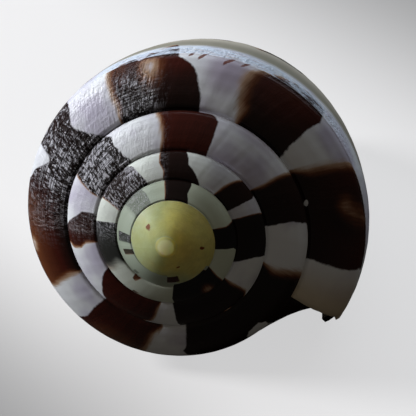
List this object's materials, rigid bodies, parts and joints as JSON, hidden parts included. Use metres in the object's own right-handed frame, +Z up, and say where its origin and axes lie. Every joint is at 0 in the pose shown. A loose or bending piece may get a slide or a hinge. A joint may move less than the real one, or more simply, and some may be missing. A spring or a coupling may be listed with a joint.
{
  "type": "cone shell",
  "caption": "Seashell of a stout cone snail with a low stepped spire, dark blocks on white and a narrow slit of an aperture, lying on its side.",
  "frame": {"origin": "centre of the bounding box's base, on the surface that the shell lies on", "axes": "+Z up; the spire points along -Y and slightly up; +Y towards the narrow end; aperture underneath, towards +X"},
  "size_m": [0.026, 0.043, 0.024],
  "materials": {
    "shell": "glossy natural shell, blackish-brown blocks on bluish white, worn olive-yellow tip"
  },
  "bodies": {
    "root": {"shell": "shell"}
  },
  "joints": []
}
